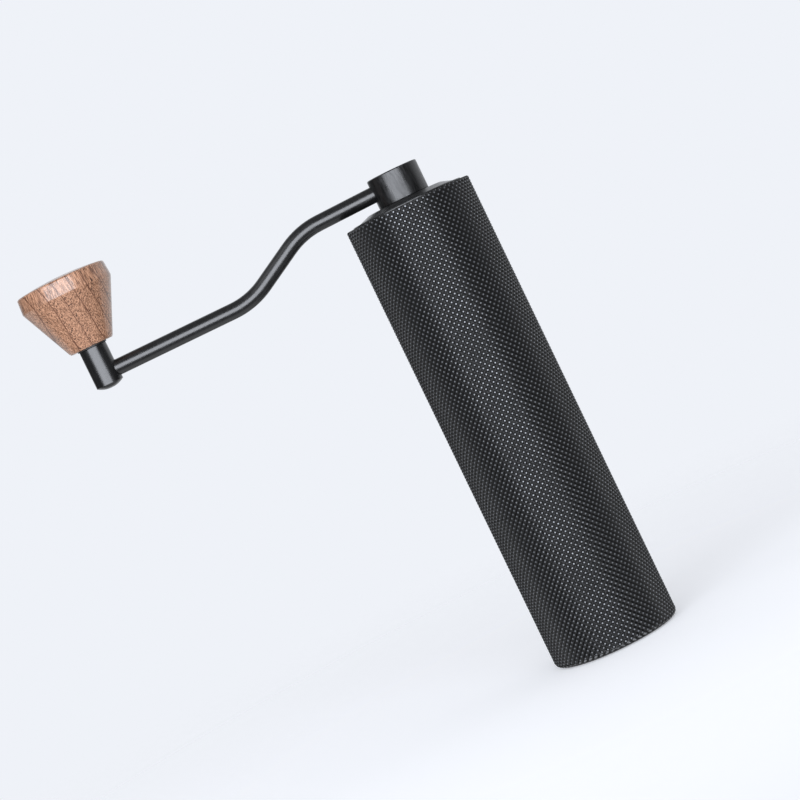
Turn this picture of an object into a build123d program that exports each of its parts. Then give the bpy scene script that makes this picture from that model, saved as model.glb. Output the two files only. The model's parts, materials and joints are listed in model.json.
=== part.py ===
from build123d import *

import math
import os

# Slim hand crank coffee grinder: a straight knurled body with a screw-off catch cup,
# a push-in lid that carries the crank, and a wooden knob on the crank's end post.
# Millimetres, +Z up, origin at the centre of the face that it stands on.
# The crank arm points along -X.

# ---- driving dimensions ----

# body and catch cup
BODY_R = 23.5
BODY_BORE_R = 21.0
BODY_TOP = 170.0
SEAM_Z = 57.5
SEAM_GAP = 0.1
RIM_CHAMFER = 0.3
EDGE_BREAK = 0.3
CUP_BORE_R = 20.5
CUP_FLOOR_Z = 3.5
CUP_BOTTOM_Z = 0.3
CUP_EDGE_R = 2.0
CUP_CORNER_R = 2.0
PAD_R = 19.5
PAD_TOP = 1.5
GASKET_R = 21.4
GASKET_Z = (52.5, 54.5)

# threaded collar under the burrs
COLLAR_IN_R = 17.6
COLLAR_OUT_R = 20.42
COLLAR_BOTTOM = 46.0
COLLAR_LEAD = 0.6
BURR_BOTTOM = 66.0

# bean hopper
LINER_IN_R = 19.4
LINER_TOP = 168.8

# bridges and bearings (8 x 16 x 5 ball bearings)
LOWER_BEARING_Z = 85.5
UPPER_BEARING_Z = 149.0
BEARING_W = 5.0
BEARING_OUT_R = 8.0
BALL_PITCH_R = 6.0
BALL_R = 1.2
BALL_COUNT = 9
RACE_CLEARANCE = 0.05
RACE_SHOULDER_OUT_R = 6.9
RACE_SHOULDER_IN_R = 5.1
CAGE_OUT_R = 6.65
CAGE_IN_R = 5.35
CAGE_HALF_H = 1.7
POCKET_CLEARANCE = 0.1
SHIELD_IN_R = 5.2
SHIELD_INSET = 0.1
SHIELD_W = 0.2
BRIDGE_BOSS_R = 10.4
BRIDGE_LIP = 0.5
BRIDGE_LIP_OVERHANG = 0.7
BRIDGE_ARM_W = 3.2
BRIDGE_ARMS = 3
LOWER_BRIDGE_IN_R = 18.0
LOWER_BRIDGE_DROP = 1.5
UPPER_BRIDGE_IN_R = 17.6
UPPER_BRIDGE_H = 4.0

# conical burrs
BURR_OUT_R = 19.0
BURR_TOP = 82.0
BURR_KNEE_Z = 72.0
BURR_GAP = 0.22
CONE_BOTTOM_R = 16.5
CONE_KNEE_R = 14.6
CONE_TOP_R = 8.2
CONE_BOTTOM_EDGE_R = 16.2
CONE_SKIRT_Z = 63.9
THROAT_OUT_R = 17.4
THROAT_IN_R = 15.6
THROAT_DEPTH = 2.4
CARRIER_IN_R = 17.5
SPRING_POCKET_R = 6.2
SPRING_SEAT_Z = 74.0

# burr teeth: coarse flutes at the throat, fine notches at the foot
COARSE_FLUTES = 6
RING_FLUTE_R = 1.5
RING_FLUTE_L = 14.0
RING_FLUTE_AT = (15.9, 78.4)
RING_FLUTE_LEAN = 28.0
RING_FLUTE_SKEW = 22.0
CONE_FLUTE_R = 2.1
CONE_FLUTE_L = 15.0
CONE_FLUTE_AT = (13.0, 77.6)
CONE_FLUTE_SKEW = 24.0
FINE_TEETH = 40
NOTCH_W = 0.7
NOTCH_L = 7.0
NOTCH_SKEW = 18.0
RING_NOTCH_Z = 68.6
CONE_NOTCH_Z = 68.8

# grind dial and its click plate
DIAL_R = 12.2
DIAL_BOTTOM = 58.8
DIAL_TOP = 63.4
DIAL_CHAMFER = 0.8
DIAL_SCALLOPS = 12
SCALLOP_R = 2.2
SCALLOP_PITCH_R = 13.4
DIAL_RECESS = (9.6, 6.2, 59.8)
PLATE_R = 12.4
PLATE_BORE_R = 4.2
PLATE_BOTTOM = 63.45
PLATE_TOP = 64.6
DETENT_PITCH_R = 9.0
DETENT_DIMPLES = 12
DIMPLE_R = 0.8
DETENT_BALLS = 2
DETENT_BALL_R = 1.0
DETENT_BALL_Z = 62.35
DETENT_POCKET_R = 1.06
DETENT_POCKET_Z = 62.3

# spring above the cone burr
SPRING_OUT_R = 5.8
SPRING_IN_R = 4.4
SPRING_TOP = 83.7
SPRING_WASHER_R = 6.3
SPRING_WASHER_TOP = 84.5

# drive shaft
SHAFT_R = 4.0
SHAFT_BOTTOM = 50.0
SHAFT_TOP = 173.2
SEAT_R = 3.9
SEAT_FLAT = 3.2
THREAD_R = 3.0
THREAD_TOP = 63.7
HEX_ACROSS = 6.8
HEX_START = 158.0
HEX_POINT_R = 3.3
HEX_POINT_L = 8.0
HEX_POINT_FOOT_R = 12.0
CLIP_GROOVE_R = 3.7
CLIP_OUT_R = 5.3
CLIP_W = 0.8
CLIP_GAP_W = 3.4
SLIDE_FIT = 0.05

# lid
LID_FLANGE_R = 20.7
LID_FLANGE_TOP = 170.5
LID_PLUG_R = 18.9
LID_PLUG_BOTTOM = 162.5
LID_PLUG_IN_R = 16.5
LID_PLUG_LEAD = 0.4
LID_WEB_BOTTOM = 166.6
LID_EDGE = 0.2
SEAL_IN_R = 17.9
SEAL_GROOVE_Z = (164.6, 166.6)
SEAL_Z = (164.75, 166.45)
SEAL_ROUND_R = 0.6
CAP_R = 18.1
CAP_TOP_R = 13.9
CAP_SEAT_Z = 169.6
CAP_BEVEL_Z = 170.65
CAP_TOP = 172.1
CAP_GAP = 0.25
CAP_ROUND_R = 0.15
BUSH_OUT_R = 8.6
BUSH_CLEARANCE = 0.06

# crank
HUB_R = 9.4
HUB_BOTTOM = 172.25
HUB_TOP = 183.1
HUB_ROUND_R = 0.5
HUB_EDGE = 0.2
BOSS_R = 7.0
BOSS_BOTTOM = 163.6
BOSS_GROOVE_R = 6.1
BOSS_GROOVE_Z = (165.4, 166.3)
BOSS_CLIP_R = 8.3
BOSS_CLIP_GAP_W = 5.0
SOCKET_ROOF = 173.6
SOCKET_CLEARANCE = 0.1
ROD_R = 2.9
ROD_BEND_R = 28.0
ROD_HUB_END = (3.5, 178.36)
ROD_FIRST_BEND = (-37.6, 177.4)
ROD_SECOND_BEND = (-63.6, 162.88)
POST_X = -120.6
POST_R = 5.0
POST_BOTTOM = 158.9
POST_DOME = 1.5
POST_TOP = 172.95
POST_EDGE = 0.2
ROD_INTO_POST = 2.0

# knob
KNOB_BOTTOM = 173.4
KNOB_BOTTOM_R = 8.35
KNOB_WIDE_R = 16.9
KNOB_WIDE_Z = 193.2
KNOB_BAND_TOP_R = 16.5
KNOB_BAND_TOP = 198.75
KNOB_CROWN = 1.35
KNOB_FOOT_EDGE = (0.5, 0.6)
KNOB_TOP_ROUND_R = 0.8
KNOB_WIDE_ROUND_R = 0.9
KNOB_BORE_TOP = 190.8
SLEEVE_R = 4.6
SLEEVE_TOP = 188.4
AXLE_R = 3.0
AXLE_THREAD_R = 2.5
AXLE_BOTTOM = 166.2
AXLE_HEAD_R = 4.3
AXLE_HEAD_Z = (188.45, 190.4)
AXLE_SLOT = (1.0, 0.8)
WASHER_R = 5.4


# ---- shape helpers ----

def ring(outer, inner, bottom, top):
    """A plain tube about the Z axis."""
    height = top - bottom
    tube = Cylinder(outer, height, align=(Align.CENTER, Align.CENTER, Align.MIN))
    if inner > 0:
        tube -= Cylinder(inner, height, align=(Align.CENTER, Align.CENTER, Align.MIN))
    return Pos(0, 0, bottom) * tube


def turned(points):
    """A solid of revolution about Z from (radius, height) corners."""
    corners = [(r, 0, z) for r, z in points]
    face = make_face(Polyline(*corners, close=True))
    return revolve(face, Axis.Z, 360)


def edges_at(solid, radius, height, tolerance=0.02):
    """The circular edges of a turned solid with this radius and height."""
    found = []
    for edge in solid.edges().filter_by(GeomType.CIRCLE):
        if abs(edge.radius - radius) < tolerance and abs(edge.center().Z - height) < tolerance:
            found.append(edge)
    return found


def around(count, solid, start=0.0):
    """Copies of a solid, evenly spaced about the Z axis."""
    return [Rot(0, 0, start + 360.0 * i / count) * solid for i in range(count)]


def prism(sketch, bottom, top):
    """A sketch in the XY plane, raised between two heights."""
    return Pos(0, 0, bottom) * extrude(sketch, amount=top - bottom)


def double_d(radius, flat):
    """A round section with two opposite flats."""
    return Circle(radius) & Rectangle(3 * radius, 2 * flat)


# ---- body ----

def make_body_tube():
    bottom = SEAM_Z + SEAM_GAP / 2
    tube = ring(BODY_R, BODY_BORE_R, bottom, BODY_TOP)
    rims = edges_at(tube, BODY_R, BODY_TOP) + edges_at(tube, BODY_BORE_R, BODY_TOP)
    return chamfer(rims, RIM_CHAMFER)


def make_thread_collar():
    """Holds the ring burr up in the tube and carries the cup's thread below it."""
    return turned([
        (COLLAR_IN_R, COLLAR_BOTTOM + COLLAR_LEAD),
        (COLLAR_IN_R + COLLAR_LEAD, COLLAR_BOTTOM),
        (COLLAR_OUT_R - COLLAR_LEAD, COLLAR_BOTTOM),
        (COLLAR_OUT_R, COLLAR_BOTTOM + COLLAR_LEAD),
        (COLLAR_OUT_R, SEAM_Z),
        (BODY_BORE_R, SEAM_Z),
        (BODY_BORE_R, BURR_BOTTOM),
        (COLLAR_IN_R, BURR_BOTTOM),
    ])


def make_hopper_liner():
    bottom = LOWER_BEARING_Z + BEARING_W + BRIDGE_LIP
    liner = ring(BODY_BORE_R, LINER_IN_R, bottom, LINER_TOP)
    return chamfer(edges_at(liner, LINER_IN_R, LINER_TOP), EDGE_BREAK)


def make_bridge(ring_out, ring_in, bottom, top, seat_bottom, lip_on_top):
    """A three-armed bridge whose boss holds a ball bearing."""
    boss_bottom = seat_bottom - BRIDGE_LIP
    boss_top = seat_bottom + BEARING_W + BRIDGE_LIP
    if lip_on_top:
        boss_bottom = seat_bottom
    else:
        boss_top = seat_bottom + BEARING_W
    bridge = ring(ring_out, ring_in, bottom, top)
    arm_length = (ring_in + ring_out) / 2
    arm = Box(arm_length, BRIDGE_ARM_W, top - bottom,
              align=(Align.MIN, Align.CENTER, Align.MIN))
    for placed in around(BRIDGE_ARMS, Pos(0, 0, bottom) * arm, start=90):
        bridge += placed
    bridge += ring(BRIDGE_BOSS_R, 0, boss_bottom, boss_top)
    bridge -= ring(BEARING_OUT_R, 0, seat_bottom, seat_bottom + BEARING_W)
    bore_bottom = min(bottom, boss_bottom)
    bore_top = max(top, boss_top)
    bridge -= ring(BEARING_OUT_R - BRIDGE_LIP_OVERHANG, 0, bore_bottom, bore_top)
    return bridge


def make_outer_burr():
    """The fixed ring burr: coarse flutes at its throat, fine teeth at its foot."""
    burr = turned([
        (CONE_BOTTOM_R + BURR_GAP, BURR_BOTTOM),
        (BURR_OUT_R, BURR_BOTTOM),
        (BURR_OUT_R, BURR_TOP),
        (THROAT_OUT_R, BURR_TOP),
        (THROAT_IN_R, BURR_TOP - THROAT_DEPTH),
        (CONE_KNEE_R + BURR_GAP, BURR_KNEE_Z),
    ])
    flute = Rot(0, RING_FLUTE_LEAN, 0) * Cylinder(RING_FLUTE_R, RING_FLUTE_L)
    flute = Pos(RING_FLUTE_AT[0], 0, RING_FLUTE_AT[1]) * Rot(RING_FLUTE_SKEW, 0, 0) * flute
    for placed in around(2 * COARSE_FLUTES, flute):
        burr -= placed
    lean = math.degrees(math.atan2(CONE_BOTTOM_R - CONE_KNEE_R, BURR_KNEE_Z - BURR_BOTTOM))
    middle_r = (CONE_BOTTOM_R + CONE_KNEE_R) / 2 + BURR_GAP
    notch = Rot(0, -lean, 0) * Rot(NOTCH_SKEW, 0, 0) * Box(NOTCH_W, NOTCH_W, NOTCH_L)
    for placed in around(FINE_TEETH, Pos(middle_r, 0, RING_NOTCH_Z) * notch):
        burr -= placed
    return burr


def make_burr_carrier():
    return turned([
        (BURR_OUT_R, BURR_BOTTOM),
        (BODY_BORE_R, BURR_BOTTOM),
        (BODY_BORE_R, LOWER_BEARING_Z - LOWER_BRIDGE_DROP),
        (CARRIER_IN_R, LOWER_BEARING_Z - LOWER_BRIDGE_DROP),
        (CARRIER_IN_R, BURR_TOP),
        (BURR_OUT_R, BURR_TOP),
    ])


# ---- ball bearings ----

def race_groove(middle):
    return Pos(0, 0, middle) * Torus(BALL_PITCH_R, BALL_R + RACE_CLEARANCE)


def make_outer_race(bottom):
    race = ring(BEARING_OUT_R, RACE_SHOULDER_OUT_R, bottom, bottom + BEARING_W)
    return race - race_groove(bottom + BEARING_W / 2)


def make_inner_race(bottom):
    race = ring(RACE_SHOULDER_IN_R, SHAFT_R, bottom, bottom + BEARING_W)
    return race - race_groove(bottom + BEARING_W / 2)


def make_balls(bottom):
    ball = Pos(BALL_PITCH_R, 0, bottom + BEARING_W / 2) * Sphere(BALL_R)
    return around(BALL_COUNT, ball)


def make_cage(bottom):
    middle = bottom + BEARING_W / 2
    cage = ring(CAGE_OUT_R, CAGE_IN_R, middle - CAGE_HALF_H, middle + CAGE_HALF_H)
    hole = Cylinder(BALL_R + POCKET_CLEARANCE, 2 * BALL_R)
    pocket = Pos(BALL_PITCH_R, 0, middle) * Rot(0, 90, 0) * hole
    for placed in around(BALL_COUNT, pocket):
        cage -= placed
    return cage


def make_shields():
    shields = []
    for bottom in (LOWER_BEARING_Z, UPPER_BEARING_Z):
        shield = ring(RACE_SHOULDER_OUT_R, SHIELD_IN_R, 0, SHIELD_W)
        shields.append(Pos(0, 0, bottom + SHIELD_INSET) * shield)
        shields.append(Pos(0, 0, bottom + BEARING_W - SHIELD_INSET - SHIELD_W) * shield)
    return shields


# ---- drive shaft ----

def make_drive_shaft():
    shaft = ring(THREAD_R, 0, SHAFT_BOTTOM, THREAD_TOP)
    shaft += prism(double_d(SEAT_R, SEAT_FLAT), THREAD_TOP, BURR_TOP)
    shaft += ring(SHAFT_R, 0, BURR_TOP, HEX_START)
    hexagon = RegularPolygon(HEX_ACROSS / 2, 6, major_radius=False)
    shaft += prism(hexagon, HEX_START, SHAFT_TOP)
    point_foot = SHAFT_TOP - HEX_POINT_L
    point = turned([
        (0, point_foot),
        (HEX_POINT_FOOT_R, point_foot),
        (HEX_POINT_R, SHAFT_TOP),
        (0, SHAFT_TOP),
    ])
    blank = ring(HEX_POINT_FOOT_R, 0, point_foot, SHAFT_TOP)
    shaft -= blank - point
    for bottom in clip_heights():
        shaft -= ring(CLIP_OUT_R, CLIP_GROOVE_R, bottom, bottom + CLIP_W)
    return shaft


def clip_gap(width, length, bottom, height):
    """The slot that opens a retaining ring on its +Y side."""
    slot = Box(width, length, height, align=(Align.CENTER, Align.MIN, Align.MIN))
    return Pos(0, 0, bottom) * slot


def clip_heights():
    below_lower = LOWER_BEARING_Z - CLIP_W - SLIDE_FIT
    above_upper = UPPER_BEARING_Z + BEARING_W + SLIDE_FIT
    return (below_lower, above_upper)


def make_shaft_clips():
    """Open retaining rings that keep the shaft in its two bearings."""
    clips = []
    for bottom in clip_heights():
        clip = ring(CLIP_OUT_R, CLIP_GROOVE_R, bottom, bottom + CLIP_W)
        clips.append(clip - clip_gap(CLIP_GAP_W, CLIP_OUT_R, bottom, CLIP_W))
    return clips


def make_spring_washer():
    return ring(SPRING_WASHER_R, SHAFT_R, SPRING_TOP, SPRING_WASHER_TOP)


def make_burr_spring():
    """The space of the spring that presses the cone burr onto its dial."""
    return ring(SPRING_OUT_R, SPRING_IN_R, SPRING_SEAT_Z, SPRING_TOP)


# ---- cone burr and grind dial ----

def make_inner_burr():
    cone = turned([
        (0, PLATE_TOP),
        (PLATE_R, PLATE_TOP),
        (PLATE_R, DIAL_TOP),
        (CONE_BOTTOM_EDGE_R, DIAL_TOP),
        (CONE_BOTTOM_R, CONE_SKIRT_Z),
        (CONE_BOTTOM_R, BURR_BOTTOM),
        (CONE_KNEE_R, BURR_KNEE_Z),
        (CONE_TOP_R, BURR_TOP),
        (SPRING_POCKET_R, BURR_TOP),
        (SPRING_POCKET_R, SPRING_SEAT_Z),
        (0, SPRING_SEAT_Z),
    ])
    bore = double_d(SEAT_R + SLIDE_FIT, SEAT_FLAT + SLIDE_FIT)
    cone -= prism(bore, DIAL_TOP, SPRING_SEAT_Z)
    coarse_lean = math.degrees(math.atan2(CONE_KNEE_R - CONE_TOP_R, BURR_TOP - BURR_KNEE_Z))
    flute = Rot(0, -coarse_lean, 0) * Rot(-CONE_FLUTE_SKEW, 0, 0) * Cylinder(CONE_FLUTE_R, CONE_FLUTE_L)
    flute = Pos(CONE_FLUTE_AT[0], 0, CONE_FLUTE_AT[1]) * flute
    for placed in around(COARSE_FLUTES, flute):
        cone -= placed
    fine_lean = math.degrees(math.atan2(CONE_BOTTOM_R - CONE_KNEE_R, BURR_KNEE_Z - BURR_BOTTOM))
    middle_r = (CONE_BOTTOM_R + CONE_KNEE_R) / 2
    notch = Rot(0, -fine_lean, 0) * Rot(-NOTCH_SKEW, 0, 0) * Box(NOTCH_W, NOTCH_W, NOTCH_L)
    for placed in around(FINE_TEETH, Pos(middle_r, 0, CONE_NOTCH_Z) * notch):
        cone -= placed
    return cone


def make_click_plate():
    plate = ring(PLATE_R, PLATE_BORE_R, PLATE_BOTTOM, PLATE_TOP)
    dimple = Pos(DETENT_PITCH_R, 0, PLATE_BOTTOM) * Sphere(DIMPLE_R)
    for placed in around(DETENT_DIMPLES, dimple):
        plate -= placed
    return plate


def make_grind_dial():
    dial = ring(DIAL_R, THREAD_R + SLIDE_FIT, DIAL_BOTTOM, DIAL_TOP)
    dial = chamfer(edges_at(dial, DIAL_R, DIAL_BOTTOM), DIAL_CHAMFER)
    scallop = Pos(SCALLOP_PITCH_R, 0, 0) * ring(SCALLOP_R, 0, DIAL_BOTTOM, DIAL_TOP)
    for placed in around(DIAL_SCALLOPS, scallop, start=180 / DIAL_SCALLOPS):
        dial -= placed
    recess_out, recess_in, recess_roof = DIAL_RECESS
    dial -= ring(recess_out, recess_in, DIAL_BOTTOM, recess_roof)
    pocket = Pos(DETENT_PITCH_R, 0, DETENT_POCKET_Z) * Sphere(DETENT_POCKET_R)
    for placed in around(DETENT_BALLS, pocket):
        dial -= placed
    return dial


def make_detent_balls():
    ball = Pos(DETENT_PITCH_R, 0, DETENT_BALL_Z) * Sphere(DETENT_BALL_R)
    return around(DETENT_BALLS, ball)


# ---- lid ----

def make_lid_ring():
    """Flange, plug with its seal groove, and the web that holds the bush."""
    return turned([
        (BUSH_OUT_R, LID_WEB_BOTTOM),
        (LID_PLUG_IN_R, LID_WEB_BOTTOM),
        (LID_PLUG_IN_R, LID_PLUG_BOTTOM),
        (LID_PLUG_R - LID_PLUG_LEAD, LID_PLUG_BOTTOM),
        (LID_PLUG_R, LID_PLUG_BOTTOM + LID_PLUG_LEAD),
        (LID_PLUG_R, SEAL_GROOVE_Z[0]),
        (SEAL_IN_R, SEAL_GROOVE_Z[0]),
        (SEAL_IN_R, SEAL_GROOVE_Z[1]),
        (LID_PLUG_R, SEAL_GROOVE_Z[1]),
        (LID_PLUG_R, LINER_TOP),
        (LID_FLANGE_R, LINER_TOP),
        (LID_FLANGE_R, LID_FLANGE_TOP - LID_EDGE),
        (LID_FLANGE_R - LID_EDGE, LID_FLANGE_TOP),
        (CAP_R + CAP_GAP, LID_FLANGE_TOP),
        (CAP_R + CAP_GAP, CAP_SEAT_Z),
        (BUSH_OUT_R, CAP_SEAT_Z),
    ])


def make_lid_cap():
    cap = turned([
        (BUSH_OUT_R, CAP_SEAT_Z),
        (CAP_R, CAP_SEAT_Z),
        (CAP_R, CAP_BEVEL_Z),
        (CAP_TOP_R, CAP_TOP),
        (BUSH_OUT_R, CAP_TOP),
    ])
    rims = edges_at(cap, CAP_TOP_R, CAP_TOP) + edges_at(cap, CAP_R, CAP_BEVEL_Z)
    return fillet(rims, CAP_ROUND_R)


def make_lid_seal():
    bottom, top = SEAL_Z
    seal = ring(LINER_IN_R - SLIDE_FIT, SEAL_IN_R, bottom, top)
    rims = edges_at(seal, LINER_IN_R - SLIDE_FIT, bottom) + edges_at(seal, LINER_IN_R - SLIDE_FIT, top)
    return fillet(rims, SEAL_ROUND_R)


def make_lid_bush():
    return ring(BUSH_OUT_R, BOSS_R + BUSH_CLEARANCE, LID_WEB_BOTTOM, HUB_BOTTOM - SLIDE_FIT)


# ---- crank ----

def rod_path():
    hub_end = (ROD_HUB_END[0], 0, ROD_HUB_END[1])
    first = (ROD_FIRST_BEND[0], 0, ROD_FIRST_BEND[1])
    second = (ROD_SECOND_BEND[0], 0, ROD_SECOND_BEND[1])
    post_end = (POST_X - ROD_INTO_POST, 0, ROD_SECOND_BEND[1])
    return FilletPolyline(hub_end, first, second, post_end, radius=ROD_BEND_R)


def make_crank_arm():
    path = rod_path()
    section = Plane(origin=path @ 0, z_dir=path % 0) * Circle(ROD_R)
    return sweep(section, path=path)


def make_crank_hub(rod):
    hub = ring(HUB_R, 0, HUB_BOTTOM, HUB_TOP)
    hub = fillet(edges_at(hub, HUB_R, HUB_TOP), HUB_ROUND_R)
    hub = chamfer(edges_at(hub, HUB_R, HUB_BOTTOM), HUB_EDGE)
    hub += ring(BOSS_R, 0, BOSS_BOTTOM, HUB_BOTTOM)
    hub -= ring(BOSS_CLIP_R, BOSS_GROOVE_R, BOSS_GROOVE_Z[0], BOSS_GROOVE_Z[1])
    socket = RegularPolygon(HEX_ACROSS / 2 + SOCKET_CLEARANCE, 6, major_radius=False)
    hub -= prism(socket, BOSS_BOTTOM, SOCKET_ROOF)
    return hub - rod


def make_crank_clip():
    bottom, top = BOSS_GROOVE_Z
    clip = ring(BOSS_CLIP_R, BOSS_GROOVE_R, bottom, top)
    return clip - clip_gap(BOSS_CLIP_GAP_W, BOSS_CLIP_R, bottom, top - bottom)


def make_knob_post(rod):
    """The upright stud at the crank's end, with a domed foot."""
    foot = ThreePointArc(
        (0, 0, POST_BOTTOM - POST_DOME),
        (POST_R * 0.62, 0, POST_BOTTOM - POST_DOME * 0.66),
        (POST_R, 0, POST_BOTTOM),
    )
    side = Polyline(
        (POST_R, 0, POST_BOTTOM),
        (POST_R, 0, POST_TOP - POST_EDGE),
        (POST_R - POST_EDGE, 0, POST_TOP),
        (0, 0, POST_TOP),
        (0, 0, POST_BOTTOM - POST_DOME),
    )
    post = revolve(make_face(foot + side), Axis.Z, 360)
    post -= ring(AXLE_THREAD_R, 0, AXLE_BOTTOM, POST_TOP)
    return Pos(POST_X, 0, 0) * post - rod


def make_knob_axle():
    """A shoulder screw that holds the knob on its post."""
    head_bottom, head_top = AXLE_HEAD_Z
    slot_w, slot_depth = AXLE_SLOT
    axle = ring(AXLE_THREAD_R, 0, AXLE_BOTTOM, POST_TOP)
    axle += ring(AXLE_R, 0, POST_TOP, head_bottom)
    axle += ring(AXLE_HEAD_R, 0, head_bottom, head_top)
    axle -= Pos(0, 0, head_top) * Box(2 * AXLE_HEAD_R, slot_w, 2 * slot_depth)
    return Pos(POST_X, 0, 0) * axle


def make_knob_washer():
    washer = ring(WASHER_R, AXLE_R, POST_TOP, KNOB_BOTTOM - SLIDE_FIT)
    return Pos(POST_X, 0, 0) * washer


# ---- knob ----

def make_knob_grip():
    """The turned wooden knob: a cone, a short band and a shallow crown."""
    crown_z = KNOB_BAND_TOP + KNOB_CROWN
    crown = ThreePointArc(
        (KNOB_BAND_TOP_R, 0, KNOB_BAND_TOP),
        (KNOB_BAND_TOP_R / 2, 0, KNOB_BAND_TOP + KNOB_CROWN * 0.75),
        (0, 0, crown_z),
    )
    side = Polyline(
        (0, 0, crown_z),
        (0, 0, KNOB_BORE_TOP),
        (SLEEVE_R, 0, KNOB_BORE_TOP),
        (SLEEVE_R, 0, KNOB_BOTTOM),
        (KNOB_BOTTOM_R - KNOB_FOOT_EDGE[0], 0, KNOB_BOTTOM),
        (KNOB_BOTTOM_R, 0, KNOB_BOTTOM + KNOB_FOOT_EDGE[1]),
        (KNOB_WIDE_R, 0, KNOB_WIDE_Z),
        (KNOB_BAND_TOP_R, 0, KNOB_BAND_TOP),
    )
    grip = revolve(make_face(crown + side), Axis.Z, 360)
    grip = fillet(edges_at(grip, KNOB_BAND_TOP_R, KNOB_BAND_TOP), KNOB_TOP_ROUND_R)
    grip = fillet(edges_at(grip, KNOB_WIDE_R, KNOB_WIDE_Z), KNOB_WIDE_ROUND_R)
    return Pos(POST_X, 0, 0) * grip


def make_knob_sleeve():
    sleeve = ring(SLEEVE_R, AXLE_R + SLIDE_FIT, KNOB_BOTTOM, SLEEVE_TOP)
    return Pos(POST_X, 0, 0) * sleeve


# ---- catch cup ----

def make_cup_shell():
    cup = ring(BODY_R, 0, CUP_BOTTOM_Z, SEAM_Z - SEAM_GAP / 2)
    cup = fillet(edges_at(cup, BODY_R, CUP_BOTTOM_Z), CUP_EDGE_R)
    inside = ring(CUP_BORE_R, 0, CUP_FLOOR_Z, SEAM_Z)
    inside = fillet(edges_at(inside, CUP_BORE_R, CUP_FLOOR_Z), CUP_CORNER_R)
    cup -= inside
    cup -= ring(GASKET_R, 0, GASKET_Z[0], GASKET_Z[1])
    cup -= ring(PAD_R, 0, 0, PAD_TOP)
    return cup


def make_cup_gasket():
    return ring(GASKET_R, COLLAR_OUT_R + SLIDE_FIT, GASKET_Z[0], GASKET_Z[1])


def make_base_pad():
    pad = ring(PAD_R, 0, 0, PAD_TOP)
    return chamfer(edges_at(pad, PAD_R, 0), EDGE_BREAK)


# ---- all nodes ----

def make_nodes():
    rod = make_crank_arm()
    lower_bridge_bottom = LOWER_BEARING_Z - LOWER_BRIDGE_DROP
    lower_bridge_top = LOWER_BEARING_Z + BEARING_W + BRIDGE_LIP
    upper_bridge_top = UPPER_BEARING_Z + UPPER_BRIDGE_H
    return {
        "body_tube": make_body_tube(),
        "thread_collar": make_thread_collar(),
        "hopper_liner": make_hopper_liner(),
        "burr_carrier": make_burr_carrier(),
        "outer_burr": make_outer_burr(),
        "lower_bridge": make_bridge(BODY_BORE_R, LOWER_BRIDGE_IN_R, lower_bridge_bottom,
                                    lower_bridge_top, LOWER_BEARING_Z, lip_on_top=True),
        "upper_bridge": make_bridge(LINER_IN_R, UPPER_BRIDGE_IN_R, UPPER_BEARING_Z,
                                    upper_bridge_top, UPPER_BEARING_Z, lip_on_top=False),
        "lower_outer_race": make_outer_race(LOWER_BEARING_Z),
        "upper_outer_race": make_outer_race(UPPER_BEARING_Z),
        "bearing_shields": make_shields(),
        "lower_cage": make_cage(LOWER_BEARING_Z),
        "lower_balls": make_balls(LOWER_BEARING_Z),
        "upper_cage": make_cage(UPPER_BEARING_Z),
        "upper_balls": make_balls(UPPER_BEARING_Z),
        "drive_shaft": make_drive_shaft(),
        "lower_inner_race": make_inner_race(LOWER_BEARING_Z),
        "upper_inner_race": make_inner_race(UPPER_BEARING_Z),
        "shaft_clips": make_shaft_clips(),
        "spring_washer": make_spring_washer(),
        "burr_spring": make_burr_spring(),
        "inner_burr": make_inner_burr(),
        "click_plate": make_click_plate(),
        "grind_dial": make_grind_dial(),
        "detent_balls": make_detent_balls(),
        "lid_ring": make_lid_ring(),
        "lid_cap": make_lid_cap(),
        "lid_seal": make_lid_seal(),
        "lid_bush": make_lid_bush(),
        "crank_hub": make_crank_hub(rod),
        "crank_clip": make_crank_clip(),
        "crank_arm": rod,
        "knob_post": make_knob_post(rod),
        "knob_axle": make_knob_axle(),
        "knob_washer": make_knob_washer(),
        "knob_grip": make_knob_grip(),
        "knob_sleeve": make_knob_sleeve(),
        "cup_shell": make_cup_shell(),
        "cup_gasket": make_cup_gasket(),
        "base_pad": make_base_pad(),
    }


def main():
    os.makedirs("parts", exist_ok=True)
    for name, shape in make_nodes().items():
        if isinstance(shape, list):
            shape = Compound(children=shape)
        export_step(shape, f"parts/{name}.step")
        print(name, round(shape.volume, 1))


main()
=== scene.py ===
import json
import math

import bmesh
import bpy
from mathutils import Matrix, Vector


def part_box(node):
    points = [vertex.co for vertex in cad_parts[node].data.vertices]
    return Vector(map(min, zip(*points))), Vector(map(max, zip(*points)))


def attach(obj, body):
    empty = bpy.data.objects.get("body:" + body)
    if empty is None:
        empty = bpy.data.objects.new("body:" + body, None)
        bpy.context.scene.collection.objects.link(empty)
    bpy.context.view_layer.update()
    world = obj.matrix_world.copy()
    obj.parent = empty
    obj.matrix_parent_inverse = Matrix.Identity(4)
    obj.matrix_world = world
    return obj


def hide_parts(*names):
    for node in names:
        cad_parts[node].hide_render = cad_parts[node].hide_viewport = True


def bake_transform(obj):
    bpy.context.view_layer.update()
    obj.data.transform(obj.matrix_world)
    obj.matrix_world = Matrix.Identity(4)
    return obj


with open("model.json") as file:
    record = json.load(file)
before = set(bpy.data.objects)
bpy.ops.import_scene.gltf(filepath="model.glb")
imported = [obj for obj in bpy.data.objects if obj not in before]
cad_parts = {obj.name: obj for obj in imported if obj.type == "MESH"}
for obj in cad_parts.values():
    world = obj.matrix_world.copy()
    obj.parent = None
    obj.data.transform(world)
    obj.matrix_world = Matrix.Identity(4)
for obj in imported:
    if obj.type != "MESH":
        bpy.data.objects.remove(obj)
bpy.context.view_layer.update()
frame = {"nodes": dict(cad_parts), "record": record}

MM = 0.001

# ---- sizes taken from the frame ----

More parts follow.
